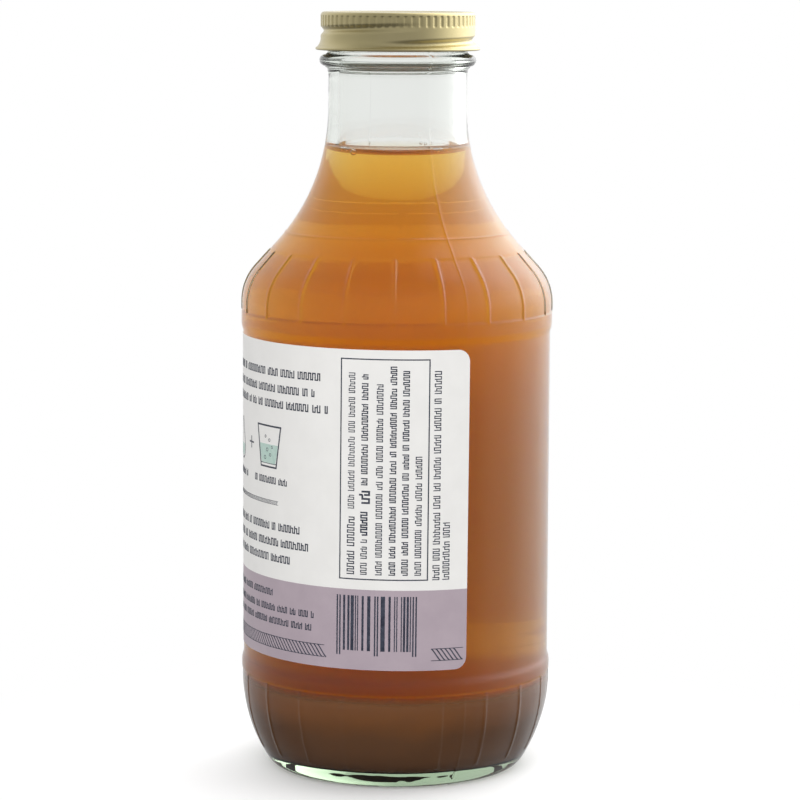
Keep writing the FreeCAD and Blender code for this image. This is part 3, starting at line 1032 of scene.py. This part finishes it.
def settled_cloud(nodes, principled):
    """Brown, redder towards the top, with a ragged edge that fades into the drink. Faces that point up are
    painted a paler orange, a painted lit top.
    """
    height = add(nodes, "SeparateXYZ", coordinates(nodes)).outputs["Z"]
    rise = spread(nodes, height, 0, 1, 0.004, SEDIMENT_TOP * MM)
    wisps = noise(nodes, 90.0, 5.0, 0.6, (1, 1, 2.2))
    brown = ramp(nodes, calculate(nodes, "MULTIPLY_ADD", wisps, 0.35, rise), [
        (0.1, (0.105, 0.046, 0.022)), (0.7, (0.112, 0.048, 0.021)), (1.0, (0.17, 0.062, 0.020))])
    # Painted light: faces that point up are blended towards a pale orange, as though lit from above.
    normal = add(nodes, "NewGeometry").outputs["Normal"]
    upright = add(nodes, "SeparateXYZ", normal).outputs["Z"]
    colour = blended(nodes, spread(nodes, upright, 0, 1, 0.3, 0.9), brown, (0.62, 0.26, 0.07, 1))
    slow = noise(nodes, 55.0, 3.0, stretch=(1, 1, 0.4))
    lifted = calculate(nodes, "MULTIPLY_ADD", slow, 0.0012, height)
    ragged = calculate(nodes, "SUBTRACT", lifted, 0.0006)
    fade_low, fade_high = (SEDIMENT_TOP - 0.9) * MM, (SEDIMENT_TOP + 2.2) * MM
    fade = spread(nodes, ragged, 1.0, 0.0, fade_low, fade_high, "SMOOTHSTEP")
    put(principled, Base_Color=colour, Alpha=fade, Roughness=0.8, Specular_IOR_Level=0.0)


def bubble_film(nodes, principled):
    put(principled, Base_Color=WHITE, IOR=FILM_INDEX, Transmission_Weight=1.0, Roughness=0.02)
    bump(nodes, principled, noise(nodes, 400.0, 1.0), 0.02, 0.0001)
    let_lamps_through(nodes, principled)


def gold_lacquer(nodes, principled):
    """Lacquered tinplate, with a grain round the cap."""
    grain = noise(nodes, 260.0, 5.0, 0.6, (1, 1, 9))
    gold = ramp(nodes, noise(nodes, 70.0, 3.0), [(0.3, (0.59, 0.51, 0.26)), (0.7, (0.65, 0.56, 0.30))])
    put(principled, Base_Color=gold, Metallic=1.0, Coat_Weight=0.45, Coat_Roughness=0.22,
        Roughness=spread(nodes, grain, 0.33, 0.45))
    bump(nodes, principled, grain, 0.08, 0.0001)


def cap_lining(nodes, principled):
    """The pale lacquer inside the cap."""
    tone = ramp(nodes, noise(nodes, 120.0), [(0.3, (0.62, 0.6, 0.55)), (0.7, (0.68, 0.66, 0.6))])
    put(principled, Base_Color=tone, Roughness=0.45)


def coated_paper(nodes, principled, dark, light, roughness, seep=0.0):
    """Label paper: faint mottling and a fine fibre grain. With `seep`, light comes through it."""
    mottle = noise(nodes, 140.0, 5.0, 0.6)
    tone = ramp(nodes, mottle, [(0.3, dark), (0.7, light)])
    put(principled, Base_Color=tone, Coat_Weight=0.12, Coat_Roughness=0.35,
        Roughness=spread(nodes, mottle, roughness - 0.04, roughness + 0.06))
    bump(nodes, principled, noise(nodes, 1600.0, 3.0, 0.6), 0.12, 0.00004)
    if seep:
        put(principled, Subsurface_Weight=1.0, Subsurface_Radius=(1, 1, 1), Subsurface_Scale=seep)


def printing_ink(nodes, principled, thin, full):
    """Printing ink, a little uneven where the paper takes less of it."""
    cover = noise(nodes, 900.0, 4.0, 0.65)
    tone = ramp(nodes, cover, [(0.35, full), (0.75, thin)])
    put(principled, Base_Color=tone, Roughness=spread(nodes, cover, 0.42, 0.58))


# ---------------- stage

# Distances from the bottle's axis on the floor are in metres
FLOOR_RADIUS = 1.6
FLOOR_SIDES = 96
SHADOW_EDGES = (0.025, 0.13)  # the floor turns from pale to white, as the camera sees it directly
GLAZED_EDGES = (0.03, 0.05)  # and as it is seen through the glass
GLAZED_SHARES = (0.02, 0.95)
WHITE_IN_GLASS = 0.88  # the white backdrop's strength where it isn't seen directly
CROSSED = 2.5  # a ray that has passed more surfaces than this has crossed the bottle


def white_level(nodes, path):
    return spread(nodes, path["Is Camera Ray"], WHITE_IN_GLASS, 1.0)


def pale_floor(nodes, principled):
    """Pale near the bottle, where its shadow lies, and white further out. It isn't mirrored."""
    put(principled, Base_Color=(0.93, 0.93, 0.93, 1), Roughness=0.7, Specular_IOR_Level=0.1)
    away = add(nodes, "VectorMath", coordinates(nodes), operation="LENGTH")
    path = add(nodes, "LightPath").outputs
    far = spread(nodes, away, 0, 1, *SHADOW_EDGES, "SMOOTHERSTEP")
    seen = calculate(nodes, "MULTIPLY", far, path["Is Camera Ray"])
    beyond = spread(nodes, away, *GLAZED_SHARES, *GLAZED_EDGES, "SMOOTHSTEP")
    glazed = calculate(nodes, "MULTIPLY", beyond, path["Is Transmission Ray"])
    white = add(nodes, "Emission", Color=WHITE, Strength=white_level(nodes, path))
    surface = add(nodes, "MixShader", calculate(nodes, "MAXIMUM", seen, glazed), principled, white)
    unmirrored = add(nodes, "MixShader", path["Is Reflection Ray"], surface, add(nodes, "BsdfTransparent"))
    put(nodes["Material Output"], Surface=unmirrored)


def make_floor():
    """A plain disc that the bottle stands on."""
    turns = np.radians(even_angles(FLOOR_SIDES))
    vertices = [(0, 0, 0)] + [(FLOOR_RADIUS * sin(t), -FLOOR_RADIUS * cos(t), 0) for t in turns]
    faces = [(1 + side, 1 + (side + 1) % FLOOR_SIDES, 0) for side in range(FLOOR_SIDES)]
    mesh = bpy.data.meshes.new("floor")
    mesh.from_pydata(vertices, [], faces)
    mesh.materials.append(new_material(pale_floor))
    add_object("floor", mesh)


# Brightness round the studio, by azimuth in degrees from the camera's side towards the right:
# near the table, and higher up. The brightest part is behind the bottle on the right.
LOW_STUDIO = ((-180, 0.9), (-130, 0.9), (-100, 0.6), (-50, 0.5), (-24, 0.45), (40, 0.4), (62, 0.6),
              (78, 1.0), (90, 1.1), (110, 1.6), (140, 1.6), (160, 1.2), (180, 0.9))
HIGH_STUDIO = ((-180, 0.9), (-130, 0.9), (-100, 0.6), (-60, 0.5), (-24, 0.45), (40, 0.5), (62, 1.0),
               (78, 1.6), (96, 2.3), (110, 2.8), (138, 3.0), (156, 2.4), (180, 0.9))
BRIGHTEST = 3.0
BLEND_HEIGHTS = (-0.14, 0.25)  # Z of the direction, from the low studio to the high one
# How much of it is left, by height from straight below, 0, to straight above, 1
STUDIO_SHARES = ((0.25, 0.3), (0.47, 1), (0.8, 1), (0.97, 0.7))


def round_studio(nodes, turn, brightness):
    """Brightness for a turn of 0 to 1, from (azimuth, brightness) pairs, as a share of the brightest."""
    stops = [((azimuth + 180) / 360, (value / BRIGHTEST,) * 3) for azimuth, value in brightness]
    return ramp(nodes, turn, stops)


def studio_light(nodes):
    """A soft studio, dim on the camera's side, for light and gloss."""
    east, north, up = add(nodes, "SeparateXYZ", coordinates(nodes, "Generated")).outputs
    azimuth = calculate(nodes, "ARCTAN2", east, calculate(nodes, "MULTIPLY", north, -1))
    turn = spread(nodes, azimuth, 0, 1, -pi, pi)
    lift = spread(nodes, up, 0, 1, *BLEND_HEIGHTS, "SMOOTHSTEP")
    low, high = (round_studio(nodes, turn, studio) for studio in (LOW_STUDIO, HIGH_STUDIO))
    shares = ramp(nodes, spread(nodes, up, 0, 1, -1, 1), [(z, (share,) * 3) for z, share in STUDIO_SHARES])
    strength = calculate(nodes, "MULTIPLY", shares, BRIGHTEST)
    return add(nodes, "Background", Color=blended(nodes, lift, low, high), Strength=strength)


def make_world():
    """White for the camera, and for rays that have crossed the bottle, and the studio for the rest."""
    world = bpy.data.worlds.new("studio")
    bpy.context.scene.world = world
    world.use_nodes = True
    nodes = world.node_tree.nodes
    path = add(nodes, "LightPath").outputs
    crossed = calculate(nodes, "GREATER_THAN", path["Transmission Depth"], CROSSED)
    through = calculate(nodes, "MULTIPLY", path["Is Transmission Ray"], crossed)
    seen = calculate(nodes, "MAXIMUM", path["Is Camera Ray"], through)
    white = put(nodes["Background"], Color=WHITE, Strength=white_level(nodes, path))
    put(nodes["World Output"], Surface=add(nodes, "MixShader", seen, studio_light(nodes), white))


LAMP_AIM = (0, 0, 0.1)


def make_lamp(name, azimuth, elevation, distance, width, height, radiance):
    """A soft lamp aimed at the bottle, which lights paper and cloudy drink, and isn't seen or mirrored."""
    light = bpy.data.lights.new(name, "AREA")
    light.shape = "RECTANGLE"
    light.size, light.size_y = width, height
    light.energy = radiance * pi * width * height
    lamp = add_object(name, light)
    turn, lift = radians(azimuth), radians(elevation)
    direction = np.array([sin(turn) * cos(lift), -cos(turn) * cos(lift), sin(lift)])
    lamp.location = LAMP_AIM + distance * direction
    lamp.rotation_euler = (pi / 2 - lift, 0, turn)
    lamp.visible_camera = False
    lamp.visible_glossy = False
    lamp.visible_transmission = False


CAMERA_DISTANCE = 0.8271  # in metres, with the pitch and roll in degrees
CAMERA_PITCH = 7.45
CAMERA_ROLL = 0.25
CAMERA_LENS = 148.5
AIM = (0.0009, 0.0, 0.0921)


def make_camera():
    """A long lens a little above the bottle's middle."""
    data = bpy.data.cameras.new("camera")
    data.lens = CAMERA_LENS
    data.sensor_width = 36
    camera = add_object("camera", data)
    pitch = radians(CAMERA_PITCH)
    camera.location = (AIM[0], AIM[1] - CAMERA_DISTANCE * cos(pitch), AIM[2] + CAMERA_DISTANCE * sin(pitch))
    camera.rotation_mode = "XYZ"
    camera.rotation_euler = (pi / 2 - pitch, 0, 0)
    camera.rotation_euler.rotate_axis("Z", radians(CAMERA_ROLL))
    bpy.context.scene.camera = camera


def set_view():
    """The plain view transform, and enough bounces for rays to cross the bottle's many walls."""
    scene = bpy.context.scene
    scene.view_settings.view_transform = "Standard"
    scene.cycles.max_bounces = 28
    scene.cycles.transmission_bounces = 26
    scene.cycles.transparent_max_bounces = 24
    scene.cycles.volume_bounces = 6


def main():
    set_view()
    make_bottle(new_material(flint_glass))
    make_drink(new_material(amber_drink))
    make_sediment(new_material(settled_cloud))
    make_bubbles(new_material(bubble_film))
    make_cap(new_material(gold_lacquer), new_material(cap_lining))
    make_label([
        new_material(coated_paper, (0.80, 0.79, 0.77), (0.84, 0.83, 0.81), 0.5, name="label_paper"),
        new_material(coated_paper, (0.40, 0.33, 0.375), (0.44, 0.365, 0.41), 0.5, name="label_lilac"),
        new_material(coated_paper, (0.84, 0.81, 0.76), (0.90, 0.87, 0.82), 0.8, 0.0003, name="label_back"),
    ])
    print_label(
        new_material(printing_ink, (0.06, 0.07, 0.10), (0.018, 0.022, 0.04), name="ink_navy"),
        new_material(printing_ink, (0.55, 0.68, 0.62), (0.42, 0.58, 0.52), name="ink_mint"),
    )
    make_floor()
    make_world()
    make_lamp("backlight", azimuth=196, elevation=12, distance=1.2, width=1.6, height=1.2, radiance=1.9)
    make_lamp("front_fill", azimuth=-12, elevation=28, distance=1.5, width=1.4, height=1.4, radiance=3.4)
    make_camera()


main()
